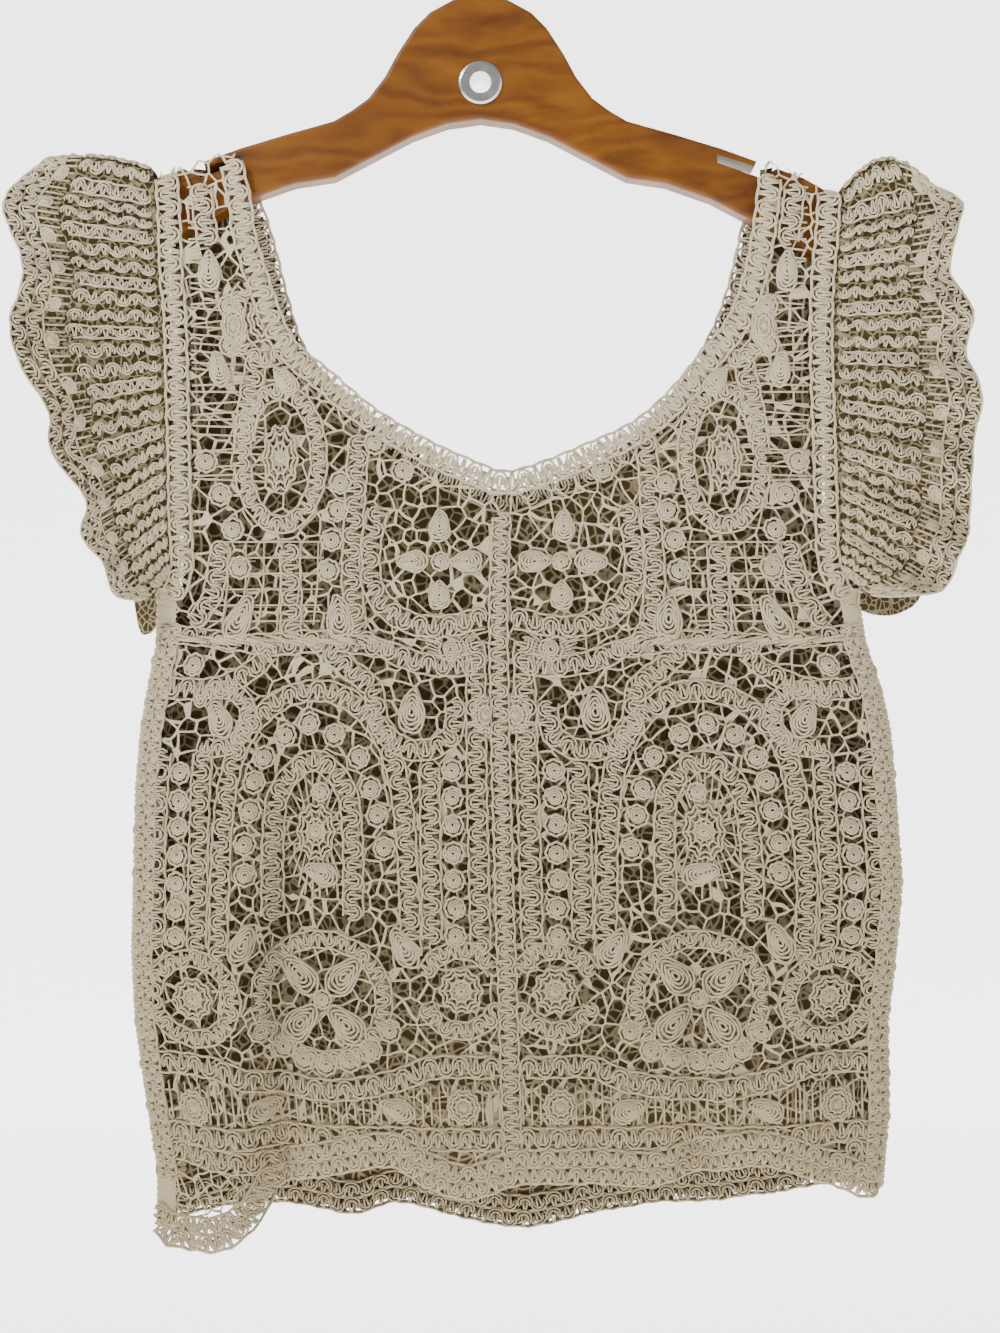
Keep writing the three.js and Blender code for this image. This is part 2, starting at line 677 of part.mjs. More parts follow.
function woodOutline() {
  const points = [
    ...woodUpper, ...woodLower,
    ...[...woodLower].reverse().slice(1).map((spot) => ({ x: -spot.x, z: spot.z })),
    ...[...woodUpper].reverse().slice(0, -1).map((spot) => ({ x: -spot.x, z: spot.z }))
  ];
  const inset = hanger.edgeRound;
  const count = points.length;
  const inner = points.map((spot, i) => {
    const before = points[(i + count - 1) % count];
    const after = points[(i + 1) % count];
    const dx = after.x - before.x;
    const dz = after.z - before.z;
    const length = Math.hypot(dx, dz);
    return new THREE.Vector2(spot.x + dz / length * inset, spot.z - dx / length * inset);
  });
  return new THREE.Shape(inner);
}

// The strap notch: a slot under the arm's upper edge, open at its outer end.
function notchGeometry(side) {
  const shape = new THREE.Shape();
  shape.moveTo(side * 121, -151.6);
  shape.lineTo(side * 121, -155.8);
  shape.lineTo(side * 143, -163.4);
  shape.lineTo(side * 152, -158.4);
  shape.lineTo(side * 152, -150);
  shape.lineTo(side * 143, -150);
  shape.lineTo(side * 140, -157.6);
  shape.closePath();
  const geometry = new THREE.ExtrudeGeometry(shape, { depth: 40, bevelEnabled: false });
  geometry.translate(0, 0, -20);
  geometry.rotateX(Math.PI / 2);
  return geometry;
}

function hangerWood() {
  const round = hanger.edgeRound;
  const blank = new THREE.ExtrudeGeometry(woodOutline(), {
    depth: hanger.thickness - 2 * round,
    bevelEnabled: true,
    bevelThickness: round,
    bevelSize: round,
    bevelSegments: 3,
    curveSegments: 6
  });
  blank.translate(0, 0, -(hanger.thickness - 2 * round) / 2);
  blank.rotateX(Math.PI / 2);
  const hole = new THREE.CylinderGeometry(hanger.holeRadius, hanger.holeRadius, 30, 32);
  hole.translate(0, 0, hanger.eyeletHeight);
  const boreLength = 60;
  const bore = new THREE.CylinderGeometry(hanger.boreRadius, hanger.boreRadius, boreLength, 24);
  bore.rotateX(Math.PI / 2);
  bore.translate(0, 0, hanger.boreBottom + boreLength / 2);
  let solid = toSolid(blank).subtract(toSolid(hole)).subtract(toSolid(bore));
  for (const side of [-1, 1]) {
    solid = solid.subtract(toSolid(notchGeometry(side)));
  }
  return fromSolid(solid);
}

// The lined hole through the hanger's neck.
function eyeletGeometry() {
  const lip = hanger.thickness / 2 + 0.3;
  const profile = [
    new THREE.Vector2(5.5, -lip - 0.9), new THREE.Vector2(9.9, -lip - 1.1), new THREE.Vector2(11, -lip - 0.5),
    new THREE.Vector2(11, -lip), new THREE.Vector2(6.9, -lip), new THREE.Vector2(6.9, lip),
    new THREE.Vector2(11, lip), new THREE.Vector2(11, lip + 0.5), new THREE.Vector2(9.9, lip + 1.1),
    new THREE.Vector2(5.5, lip + 0.9), new THREE.Vector2(5.5, -lip - 0.9)
  ];
  const geometry = new THREE.LatheGeometry(profile, 36);
  geometry.translate(0, 0, 0);
  const solid = toSolid(geometry);
  const ready = fromSolid(solid);
  ready.translate(0, 0, hanger.eyeletHeight);
  return ready;
}

// The hook: a straight shank, a bend out to the side, and a round crook with a rounded tip.
function hookGeometry() {
  const radius = hook.bendRadius + hook.wireRadius;
  const middle = -hook.bendRadius;
  const path = [
    [0, hanger.boreBottom + 1], [0, -84], [0, -70], [0, -60], [2, -52.5], [8, -45], [15, -37.5], [20.4, -30]
  ];
  for (let step = 0; step <= 14; step += 1) {
    const angle = (step / 14) * Math.PI * 1.08 - 0.02;
    path.push([radius * Math.cos(angle), middle + radius * Math.sin(angle)]);
  }
  const curve = new THREE.CatmullRomCurve3(path.map(([x, z]) => new THREE.Vector3(x, 0, z)));
  const rings = 64;
  const around = 14;
  const positions = [];
  for (let i = 0; i <= rings; i += 1) {
    const centre = curve.getPointAt(i / rings);
    const along = curve.getTangentAt(i / rings);
    const across = new THREE.Vector3(0, 1, 0).cross(along).normalize();
    for (let k = 0; k < around; k += 1) {
      const angle = 2 * Math.PI * k / around;
      const point = centre.clone().addScaledVector(across, hook.wireRadius * Math.cos(angle));
      point.y += hook.wireRadius * Math.sin(angle);
      positions.push(point.x, point.y, point.z);
    }
  }
  const index = [];
  for (let i = 0; i < rings; i += 1) {
    for (let k = 0; k < around; k += 1) {
      const next = (k + 1) % around;
      const a = i * around + k;
      const b = i * around + next;
      index.push(a, b, b + around, a, b + around, a + around);
    }
  }
  for (const [ring, flip] of [[0, 1], [rings, 0]]) {
    const end = curve.getPointAt(ring / rings);
    const beyond = curve.getTangentAt(ring / rings).multiplyScalar(flip ? -0.8 : 1.2);
    positions.push(end.x + beyond.x, end.y + beyond.y, end.z + beyond.z);
    const tip = positions.length / 3 - 1;
    for (let k = 0; k < around; k += 1) {
      const a = ring * around + k;
      const b = ring * around + (k + 1) % around;
      index.push(...(flip ? [tip, b, a] : [tip, a, b]));
    }
  }
  return facingOut(positions, index);
}

const part = new THREE.Group();
part.name = "crochet_top_on_hanger";

function add(name, geometry, look) {
  const mesh = new THREE.Mesh(geometry, new THREE.MeshStandardMaterial(look));
  mesh.name = name;
  part.add(mesh);
}

const laceLook = { color: "#b3a98f", roughness: 0.9, metalness: 0 };
const woodLook = { color: "#ac7628", roughness: 0.4, metalness: 0 };
const steelLook = { color: "#b8b8b4", roughness: 0.3, metalness: 1 };

add("hanger_wood", hangerWood(), woodLook);
add("eyelet", eyeletGeometry(), steelLook);
add("hook", hookGeometry(), steelLook);
for (const [faceName, face] of [["front", front], ["back", back]]) {
  const hem = hemBlock(face);
  const neck = neckBlock(face);
  add(`${faceName}_left`, trimmed(wallGeometry(panel(face, -1)), [neck, armholeBlock(-1), sideBlock(-1, true), hem]), laceLook);
  add(`${faceName}_right`, trimmed(wallGeometry(panel(face, 1)), [neck, armholeBlock(1), sideBlock(1, true), hem]), laceLook);
  add(`${faceName}_centre_band`, trimmed(wallGeometry(centreStrip(face)), [hem]), laceLook);
  add(`${faceName}_neck_band`, wallGeometry(neckBand(face)), laceLook);
  add(`${faceName}_hem_band`, trimmed(wallGeometry(hemStrip(face)), [sideBlock(-1, true), sideBlock(1, true)]), laceLook);
  add(`${faceName}_armhole_left`, trimmed(wallGeometry(armholeStrip(face, -1)), [sideBlock(-1, true)]), laceLook);
  add(`${faceName}_armhole_right`, trimmed(wallGeometry(armholeStrip(face, 1)), [sideBlock(1, true)]), laceLook);
}
add("side_seam_left", trimmed(wallGeometry(sideStrip(-1)), [sideBlock(-1, false)]), laceLook);
add("side_seam_right", trimmed(wallGeometry(sideStrip(1)), [sideBlock(1, false)]), laceLook);
add("ruffle_left", ruffleGeometry(-1), laceLook);
add("ruffle_right", ruffleGeometry(1), laceLook);

export default part;
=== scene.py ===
import json
import math
import bpy
import numpy as np
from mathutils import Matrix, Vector
from mathutils.bvhtree import BVHTree

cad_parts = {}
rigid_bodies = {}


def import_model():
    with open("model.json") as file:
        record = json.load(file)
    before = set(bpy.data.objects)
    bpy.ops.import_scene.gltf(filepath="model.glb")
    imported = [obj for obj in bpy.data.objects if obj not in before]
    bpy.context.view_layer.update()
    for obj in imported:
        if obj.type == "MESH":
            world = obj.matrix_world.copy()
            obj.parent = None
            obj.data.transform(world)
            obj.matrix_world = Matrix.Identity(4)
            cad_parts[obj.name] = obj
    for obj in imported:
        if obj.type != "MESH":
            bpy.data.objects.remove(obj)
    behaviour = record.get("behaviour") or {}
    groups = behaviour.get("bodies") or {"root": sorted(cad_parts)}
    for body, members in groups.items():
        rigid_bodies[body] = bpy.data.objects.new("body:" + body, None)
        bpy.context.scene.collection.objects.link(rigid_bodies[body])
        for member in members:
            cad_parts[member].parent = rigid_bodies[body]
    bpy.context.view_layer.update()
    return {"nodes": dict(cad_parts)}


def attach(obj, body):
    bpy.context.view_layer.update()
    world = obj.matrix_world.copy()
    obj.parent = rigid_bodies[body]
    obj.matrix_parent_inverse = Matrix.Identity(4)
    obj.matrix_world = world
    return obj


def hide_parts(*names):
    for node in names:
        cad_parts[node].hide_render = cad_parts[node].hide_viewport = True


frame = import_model()
nodes = frame["nodes"]
random = np.random.default_rng(7)
print("frame loaded")


# Shader maths: a socket with operators.
class Wire:
    def __init__(self, tree, socket):
        self.tree = tree
        self.socket = socket

    def math(self, operation, *others):
        node = self.tree.nodes.new("ShaderNodeMath")
        node.operation = operation
        self.tree.links.new(self.socket, node.inputs[0])
        for place, other in enumerate(others, 1):
            join(self.tree, other, node.inputs[place])
        return Wire(self.tree, node.outputs[0])

    def __add__(self, other):
        return self.math("ADD", other)

    def __radd__(self, other):
        return self.math("ADD", other)

    def __sub__(self, other):
        return self.math("SUBTRACT", other)

    def __rsub__(self, other):
        return self.math("MULTIPLY", -1.0).math("ADD", other)

    def __mul__(self, other):
        return self.math("MULTIPLY", other)

    def __rmul__(self, other):
        return self.math("MULTIPLY", other)


def join(tree, value, socket):
    if isinstance(value, Wire):
        tree.links.new(value.socket, socket)
    else:
        socket.default_value = value


class Shader:
    def __init__(self, name):
        self.material = bpy.data.materials.new(name)
        self.material.use_nodes = True
        self.tree = self.material.node_tree
        self.surface = self.tree.nodes["Principled BSDF"]

    def node(self, kind, settings=None, out=0, **sockets):
        made = self.tree.nodes.new(kind)
        for name, value in (settings or {}).items():
            setattr(made, name, value)
        for name, value in sockets.items():
            join(self.tree, value, made.inputs[name.replace("_", " ")])
        return Wire(self.tree, made.outputs[out])

    def place(self):
        made = self.tree.nodes.new("ShaderNodeTexCoord")
        return Wire(self.tree, made.outputs["Object"])

    def ramp(self, factor, stops):
        made = self.tree.nodes.new("ShaderNodeValToRGB")
        line = made.color_ramp
        while len(line.elements) < len(stops):
            line.elements.new(0.5)
        for element, (at, colour) in zip(line.elements, stops):
            element.position = at
            element.color = (*colour, 1)
        join(self.tree, factor, made.inputs[0])
        return Wire(self.tree, made.outputs[0])

    def mix(self, factor, first, second, blend="MIX"):
        made = self.tree.nodes.new("ShaderNodeMix")
        made.data_type = "RGBA"
        made.blend_type = blend
        for value, socket in ((factor, 0), (first, 6), (second, 7)):
            join(self.tree, value, made.inputs[socket])
        return Wire(self.tree, made.outputs[2])

    def set(self, **sockets):
        for name, value in sockets.items():
            join(self.tree, value, self.surface.inputs[name.replace("_", " ")])
        return self.material


# Yarn tones: 'high' is the lit tone and 'low' the shaded tone, used for painted light and shade by height;
# 'dark' is a darker tone mixed in at random.
yarnLook = {"high": (0.64, 0.545, 0.39), "low": (0.36, 0.29, 0.175), "dark": (0.40, 0.33, 0.21),
    "radius": 0.00066}


def laceMaterial(name, holes):
    shader = Shader(name)
    place = shader.place()
    split = shader.node("ShaderNodeSeparateXYZ", None, 2, Vector=place)
    # Painted light and shade: the yarn colour runs from the shaded tone at the bottom to the lit tone at
    # the top, then a darker tone is mixed in at random.
    height = (split + 0.70) * 1.8
    base = shader.ramp(height, [(0.0, yarnLook["low"]), (1.0, yarnLook["high"])])
    cloud = shader.node("ShaderNodeTexNoise", None, 0, Vector=place, Scale=55.0, Detail=3.0)
    paintedLightAndRandomTone = shader.mix(cloud * 0.6, base, (*yarnLook["dark"], 1))
    fine = shader.node("ShaderNodeTexNoise", None, 0, Vector=place, Scale=1400.0, Detail=2.0)
    twist = shader.node("ShaderNodeTexWave", {"bands_direction": "DIAGONAL"}, 1, Vector=place,
        Scale=420.0, Distortion=3.0)
    bump = shader.node("ShaderNodeBump", None, 0, Height=fine * 0.6 + twist * 0.4, Strength=0.55,
        Distance=0.0004)
    material = shader.set(Base_Color=paintedLightAndRandomTone, Roughness=0.88, Normal=bump)
    shader.surface.inputs["Specular IOR Level"].default_value = 0.2
    if holes:
        bend = shader.node("ShaderNodeTexNoise", None, 1, Vector=place, Scale=70.0, Detail=1.0)
        shifted = shader.node("ShaderNodeVectorMath", {"operation": "MULTIPLY_ADD"}, 0)
        made = shifted.socket.node
        join(shader.tree, bend, made.inputs[0])
        made.inputs[1].default_value = (0.004, 0.004, 0.004)
        join(shader.tree, place, made.inputs[2])
        cells = shader.node("ShaderNodeTexVoronoi", {"feature": "DISTANCE_TO_EDGE"}, 0, Vector=shifted,
            Scale=holes)
        thread = cells.math("LESS_THAN", 0.052)
        shader.set(Alpha=thread)
    return material


# The ground seen through the lace, as painted shade: shaded threads and dark shaded gaps painted on an
# opaque sheet, with no open holes.
def groundMaterial(name, scale):
    shader = Shader(name)
    place = shader.place()
    bend = shader.node("ShaderNodeTexNoise", None, 1, Vector=place, Scale=90.0, Detail=1.0)
    shifted = shader.node("ShaderNodeVectorMath", {"operation": "MULTIPLY_ADD"}, 0)
    made = shifted.socket.node
    join(shader.tree, bend, made.inputs[0])
    made.inputs[1].default_value = (0.004, 0.004, 0.004)
    join(shader.tree, place, made.inputs[2])
    cells = shader.node("ShaderNodeTexVoronoi", {"feature": "DISTANCE_TO_EDGE"}, 0, Vector=shifted,
        Scale=scale)
    colour = shader.ramp(cells, [(0.03, paintedShadeLook["thread"]), (0.14, paintedShadeLook["gap"])])
    bump = shader.node("ShaderNodeBump", {"invert": True}, 0, Height=cells, Strength=0.7, Distance=0.001)
    shader.surface.inputs["Specular IOR Level"].default_value = 0.1
    return shader.set(Base_Color=colour, Roughness=0.95, Normal=bump)


# Painted shade: the thread tone is yarn in shade and the gap tone is the dark shade seen in the holes.
paintedShadeLook = {"thread": (0.26, 0.215, 0.13), "gap": (0.05, 0.035, 0.014)}
yarnMaterial = laceMaterial("crochetYarn", 0)
netMaterial = laceMaterial("crochetNet", 112.0)
# The back net and the ruffle nets are opaque sheets with painted shade in place of open holes.
backNetMaterial = groundMaterial("backPaintedShadeGround", 190.0)
ruffleNetMaterial = groundMaterial("rufflePaintedShadeGround", 260.0)

# The body's faces read as depth over (x, z).
step = 0.003
gridX = np.arange(-0.20, 0.245, step)
gridZ = np.arange(-0.725, -0.14, step)


# Creases: place, lean, rise, half width, and the heights where each starts and is full.
creases = {
    -1: [(-0.116, -0.004, 0.0065, 0.010, -0.425, -0.60),
    (-0.097, -0.002, -0.0065, 0.008, -0.425, -0.60), (0.104, 0.004, -0.0055, 0.007, -0.47, -0.60),
         (0.118, 0.004, 0.0035, 0.009, -0.47, -0.60), (0.176, 0.004, -0.003, 0.009, -0.44, -0.60),
         (-0.150, 0.002, -0.003, 0.009, -0.52, -0.66),
         (-0.052, 0.010, -0.003, 0.010, -0.30, -0.42), (0.066, -0.010, -0.003, 0.010, -0.30, -0.42),
         (0.0, 0.0, 0.003, 0.020, -0.60, -0.68)],
    1: [(-0.10, 0.0, 0.004, 0.014, -0.42, -0.62), (-0.07, 0.0, -0.004, 0.010, -0.42, -0.62),
    (0.09, 0.004, 0.004, 0.014, -0.44, -0.62),
        (0.125, 0.004, -0.004, 0.010, -0.46, -0.62), (0.024, 0.0, -0.002, 0.008, -0.40, -0.66)]
}


def treeOf(names):
    verts, polys = [], []
    for name in names:
        mesh = nodes[name].data
        base = len(verts)
        verts += [v.co[:] for v in mesh.vertices]
        polys += [[base + i for i in p.vertices] for p in mesh.polygons]
    return BVHTree.FromPolygons(verts, polys)


class Drape:
    def __init__(self, word, face):
        names = [n for n in nodes if n.startswith(word)] + ["side_seam_left", "side_seam_right"]
        tree = treeOf(names)
        self.face = face
        depth = np.full((len(gridX), len(gridZ)), np.nan)
        for i, x in enumerate(gridX):
            for j, z in enumerate(gridZ):
                hit = tree.ray_cast(Vector((x, face * 0.3, z)), Vector((0, -face, 0)))
                if hit[0] is not None and hit[0].y * face > -0.004:
                    depth[i, j] = hit[0].y
        known = ~np.isnan(depth)
        grown = known.copy()
        for di in (-1, 0, 1):
            for dj in (-1, 0, 1):
                grown |= np.roll(known, (di, dj), (0, 1))
        closed = grown.copy()
        for di in (-1, 0, 1):
            for dj in (-1, 0, 1):
                closed &= np.roll(grown, (di, dj), (0, 1))
        self.known = closed | known
        for turn in range(40):
            padded = np.pad(depth, 1, constant_values=np.nan)
            around = np.stack([padded[2:, 1:-1], padded[:-2, 1:-1], padded[1:-1, 2:], padded[1:-1, :-2]])
            count = (~np.isnan(around)).sum(0)
            mean = np.nansum(around, 0) / np.maximum(count, 1)
            fill = np.isnan(depth) & (count > 0)
            depth[fill] = mean[fill]
        depth = np.where(np.isnan(depth), face * 0.01, depth)
        for x, lean, rise, width, top, low in creases[face]:
            grown = np.clip((top - gridZ) / (top - low), 0, 1)
            line = x + lean * grown
            depth += face * rise * (grown ** 0.7)[None,
                :] * np.exp(-((gridX[:, None] - line[None, :]) / width) ** 2)
        self.depth = depth

    def at(self, x, z, lift):
        u = np.clip((x - gridX[0]) / step, 0, len(gridX) - 1.001)
        v = np.clip((z - gridZ[0]) / step, 0, len(gridZ) - 1.001)
        i, j = u.astype(int), v.astype(int)
        s, t = u - i, v - j
        d = self.depth
        y = (d[i, j] * (1 - s) + d[i + 1, j] * s) * (1 - t) + (d[i, j + 1] * (1 - s) + d[i + 1,
            j + 1] * s) * t
        return np.stack([x, y + self.face * (lift - 0.0006), z], -1)


frontDrape = Drape("front", -1)
backDrape = Drape("back", 1)
print("drapes read")


def meshFrom(name, verts, quads, material):
    mesh = bpy.data.meshes.new(name)
    mesh.vertices.add(len(verts))
    mesh.vertices.foreach_set("co", np.asarray(verts, np.float32).ravel())
    mesh.loops.add(quads.size)
    mesh.loops.foreach_set("vertex_index", quads.ravel().astype(np.int32))
    mesh.polygons.add(len(quads))
    mesh.polygons.foreach_set("loop_start", np.arange(0, quads.size, 4, dtype=np.int32))
    mesh.polygons.foreach_set("use_smooth", np.full(len(quads), True))
    mesh.update(calc_edges=True)
    mesh.validate()
    mesh.materials.append(material)
    made = bpy.data.objects.new(name, mesh)
    bpy.context.scene.collection.objects.link(made)
    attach(made, "root")
    return made


# Closed tubes of yarn along many paths at once.
def yarnPiece(name, batches, facing):
    verts, quads, total = [], [], 0
    for paths, radius in batches:
        count, length, unused = paths.shape
        along = np.gradient(paths, axis=1)
        along /= np.linalg.norm(along, axis=2, keepdims=True) + 1e-12
        side = np.cross(along, np.broadcast_to(facing, along.shape))
        side /= np.linalg.norm(side, axis=2, keepdims=True) + 1e-12
        up = np.cross(side, along)
        angles = np.radians([45, 135, 225, 315])
        ring = side[:, :, None] * np.cos(angles)[None, None, :, None] + up[:, :,
            None] * np.sin(angles)[None, None, :, None]
        points = paths[:, :, None] + ring * radius
        verts.append(points.reshape(-1, 3))
        start = total + np.arange(count)[:, None, None] * length * 4 + np.arange(length - 1)[None, :,
            None] * 4
        here = np.arange(4)[None, None, :]
        after = (here + 1) % 4
        body = np.stack([start + here, start + after, start + after + 4, start + here + 4],
            -1).reshape(-1, 4)
        first = total + np.arange(count)[:, None] * length * 4
        caps = np.concatenate([first + [[3, 2, 1, 0]], first + (length - 1) * 4 + [[0, 1, 2, 3]]])
        quads += [body, caps]
        total += count * length * 4
    return meshFrom(name, np.concatenate(verts), np.concatenate(quads), yarnMaterial)


# A pattern gathers flat paths (across, down, lift) in metres.
class Pattern:
    def __init__(self):
        self.paths = {}

    def add(self, paths, thick=1.0):
        array = np.asarray(paths, float)
        if array.ndim == 2:
            array = array[None]
        self.paths.setdefault((array.shape[1], thick), []).append(array)

    def batches(self, place):
        out = []
        for (length, thick), arrays in self.paths.items():
            flat = np.concatenate(arrays)
            out.append((place(flat[..., 0], flat[..., 1], flat[..., 2]), yarnLook["radius"] * thick))
        return out


def mm(points):
    return np.asarray(points, float) / 1000


def curve(points, closed=False, parts=10):
    p = mm(points)
    if closed:
        ends = np.vstack([p[-1], p, p[0], p[1]])
    else:
        ends = np.vstack([2 * p[0] - p[1], p, 2 * p[-1] - p[-2]])
    out = []
    for k in range(1, len(ends) - 2):
        a, b, c, d = ends[k - 1:k + 3]
        for t in np.arange(parts) / parts:
            out.append(0.5 * (2 * b + (c - a) * t + (2 * a - 5 * b + 4 * c - d) * t * t
                              + (3 * b - a - 3 * c + d) * t ** 3))
    out.append(ends[-2])
    return np.array(out)


def walk(line, pitch):
    steps = np.linalg.norm(np.diff(line, axis=0), axis=1)
    total = np.concatenate([[0], np.cumsum(steps)])
    count = max(1, int(round(total[-1] / pitch)))
    at = (np.arange(count) + 0.5) * total[-1] / count
    spots = np.stack([np.interp(at, total, line[:, 0]), np.interp(at, total, line[:, 1])], 1)
    ahead = np.stack([np.interp(at + 0.001, total, line[:, 0]),
        np.interp(at + 0.001, total, line[:, 1])], 1)
    behind = np.stack([np.interp(at - 0.001, total, line[:, 0]),
        np.interp(at - 0.001, total, line[:, 1])], 1)
    way = ahead - behind
    return spots, np.arctan2(way[:, 1], way[:, 0])


def stamp(pattern, unit, spots, angles, scale=1.0, flips=None, thick=1.0):
    cos, sin = np.cos(angles)[:, None], np.sin(angles)[:, None]
    flips = np.ones(len(spots)) if flips is None else flips
    size = scale * (1 + random.uniform(-0.05, 0.05, len(spots)))[:, None]
    for path in unit:
        s = path[None, :, 0] * size
        n = path[None, :, 1] * size * flips[:, None]
        placed = np.stack([spots[:, :1] + s * cos - n * sin, spots[:, 1:] + s * sin + n * cos,
                           np.broadcast_to(path[None, :, 2], s.shape)], -1)
        pattern.add(placed, thick)


def shellUnit(width, pitch):
    theta = np.radians(np.linspace(-128, 128, 8))
    outer = np.stack([0.47 * pitch * np.sin(theta), 0.05 * width + 0.43 * width * np.cos(theta),
        0.0005 + 0.0004 * np.cos(theta)], 1)
    theta = np.radians(np.linspace(-118, 118, 6))
    inner = np.stack([0.30 * pitch * np.sin(theta), 0.02 * width + 0.27 * width * np.cos(theta),
        0.0008 + 0.0003 * np.cos(theta)], 1)
    unit = [outer, inner]
    for lean in (-0.13, 0.13):
        unit.append(np.array([[lean * 0.3 * pitch, -0.44 * width, 0.0004],
            [lean * 0.8 * pitch, -0.1 * width, 0.0012], [lean * pitch, 0.2 * width, 0.0008]]))
    return unit


def tape(pattern, line, width=0.0105, pitch=0.0078, border=True, thick=1.0):
    spots, angles = walk(line, pitch)
    flips = np.where(np.arange(len(spots)) % 2 == 0, 1.0, -1.0)
    spots = spots + random.normal(0, 0.00025, spots.shape)
    angles = angles + random.normal(0, 0.10, len(angles))
    stamp(pattern, shellUnit(width, pitch * 1.12), spots, angles, flips=flips, thick=thick)
    if border:
        dense, turn = walk(line, 0.0038)
        normal = np.stack([-np.sin(turn), np.cos(turn)], 1)
        wobble = 0.0004 * np.sin(np.arange(len(dense)) * 2.1)[:, None]
        for side in (-0.5, 0.5):
            edge = dense + normal * (side * width + wobble)
            pattern.add(np.column_stack([edge, np.full(len(edge), 0.0003)]), thick * 1.05)


def rosette(pattern, x, z, radius):
    t = np.linspace(0, 1, 30)
    turn = t * 3 * 2 * math.pi + random.uniform(0, 6)
    r = (0.12 + 0.68 * t) * radius / 1000
    spiral = np.stack([x / 1000 + r * np.cos(turn), z / 1000 + r * np.sin(turn), 0.0016 - 0.0010 * t], 1)
    pattern.add(spiral, 1.15)
    a = np.linspace(0, 2 * math.pi, 26)
    rim = (1.0 + 0.07 * np.cos(a * 8)) * radius / 1000
    pattern.add(np.stack([x / 1000 + rim * np.cos(a), z / 1000 + rim * np.sin(a), np.full(26, 0.0006)],
        1), 1.2)


def leaf(pattern, x, z, length, width, angle):
    t = np.linspace(0, 2 * math.pi, 22)
    along = np.cos(t) * length / 2
    across = np.sin(t) * width / 2 * (1 - 0.35 * np.cos(t))
    c, s = math.cos(math.radians(angle)), math.sin(math.radians(angle))

    def put(u, v, lift):
        u, v = np.asarray(u, float) / 1000, np.asarray(v, float) / 1000
        return np.stack([x / 1000 + u * c - v * s, z / 1000 + u * s + v * c, np.full(len(u), lift)], 1)

    for share, lift in ((1.0, 0.0008), (0.80, 0.0012), (0.60, 0.0015), (0.40, 0.0017), (0.2, 0.0018)):
        uneven = 1 + 0.05 * np.sin(t * 5 + share * 9 + x)
        pattern.add(put(along * share * uneven, across * share * uneven * 1.1, lift), 1.2)


def medallion(pattern, x, z, wide, tall, petals=10):
    a = np.linspace(0, 2 * math.pi, 44)
    for share, lift in ((1.0, 0.0007), (0.78, 0.0011), (0.5, 0.0014)):
        r = share * (1 + 0.08 * np.cos(a * petals))
        pattern.add(np.stack([(x + r * wide * np.cos(a)) / 1000, (z + r * tall * np.sin(a)) / 1000,
            np.full(44, lift)], 1), 1.15)
    for k in range(petals):
        b = 2 * math.pi * k / petals
        reach = np.array([0.12, 0.55, 1.0])
        pattern.add(np.stack([(x + reach * wide * math.cos(b)) / 1000,
            (z + reach * tall * math.sin(b)) / 1000, np.full(3, 0.0008)], 1), 1.0)
    rosette(pattern, x, z, min(wide, tall) * 0.42)


def threads(pattern, starts, ends, thick=0.85):
    a, b = mm(starts), mm(ends)
    middle = (a + b) / 2
    paths = np.stack([a, middle, b], 1)
    lift = np.full(paths.shape[:2] + (1,), 0.0002)
    pattern.add(np.concatenate([paths, lift], 2), thick)


def ringTape(pattern, x, z, wide, tall, width=0.009, first=0, last=360):
    a = np.radians(np.linspace(first, last, 24))
    line = np.stack([x + wide * np.cos(a), z + tall * np.sin(a)], 1)
    tape(pattern, curve(line, parts=3), width, width * 0.74)


# One half of the body's lace, measured from the middle line: kind, across, height, sizes, angle.
motifs = [
    ("leaf", 82, -388.5, 24, 11, 75), ("leaf", 134, -388.5, 24, 11, 105),
    ("medal", 98.5, -496, 9.5, 13.5, 0),
    ("leaf", 53, -554, 22, 10, 60), ("leaf", 135, -551, 22, 10, 120), ("medal", 24, -575, 10.5, 10.5, 0),
    ("medal", 163, -579.5, 10, 10, 0), ("leaf", 84, -568, 24, 12, 135), ("leaf", 108, -568, 24, 12, 45),
    ("leaf", 84, -592, 24, 12, 45), ("leaf", 108, -592, 24, 12, 135), ("ros", 96, -580, 4.5, 0, 0),
    ("leaf", 153, -439.5, 20, 10, 60), ("leaf", 48, -435.5, 22, 12, 90), ("medal", 8, -437, 7, 9, 0),
    ("ros", 27.5, -404, 6, 0, 0), ("ros", 172, -412, 5.5, 0, 0), ("medal", 115, -307.5, 8.5, 16, 0),
    ("leaf", 32, -342, 16, 9, 90), ("leaf", 17.5, -360, 16, 9, 0), ("leaf", 46, -360, 16, 9, 0),
    ("leaf", 31, -377, 14, 9, 90), ("ros", 31, -360, 4.5, 0, 0), ("medal", 25, -632, 8, 8, 0),
    ("leaf", 60, -634, 18, 9, 20), ("leaf", 130, -634, 18, 9, 160), ("medal", 168, -634, 8, 8, 0),
    ("leaf", 96, -517, 18, 9, 20), ("ros", 96, -476, 4.5, 0, 0), ("medal", 122, -236, 8, 12, 0),
    ("leaf", 150, -212, 20, 9, 92), ("leaf", 146, -262, 18, 8, 80), ("medal", 138, -240, 6, 10, 0),
    ("leaf", 112, -268, 16, 8, 50)
]
rosetteSpots = [
    (62.5, -504.5), (66, -488), (69.5, -474), (76, -458.5), (89.5, -447.5), (103.5, -441.5), (116, -447.5),
    (126.5, -458.5), (131, -471), (132.5, -485), (135, -501.5), (134.5, -517), (61.5, -595.5), (72, -604.5),
    (83.5, -610), (96, -612), (108, -610), (118, -604.5), (128, -595), (153.5, -309), (146.5, -326),
    (140, -343.5), (136, -363), (84, -320), (85.5, -334), (88, -349), (89.5, -364.5), (122.5, -180),
    (140, -230), (140, -250), (66, -300), (52, -314)
]
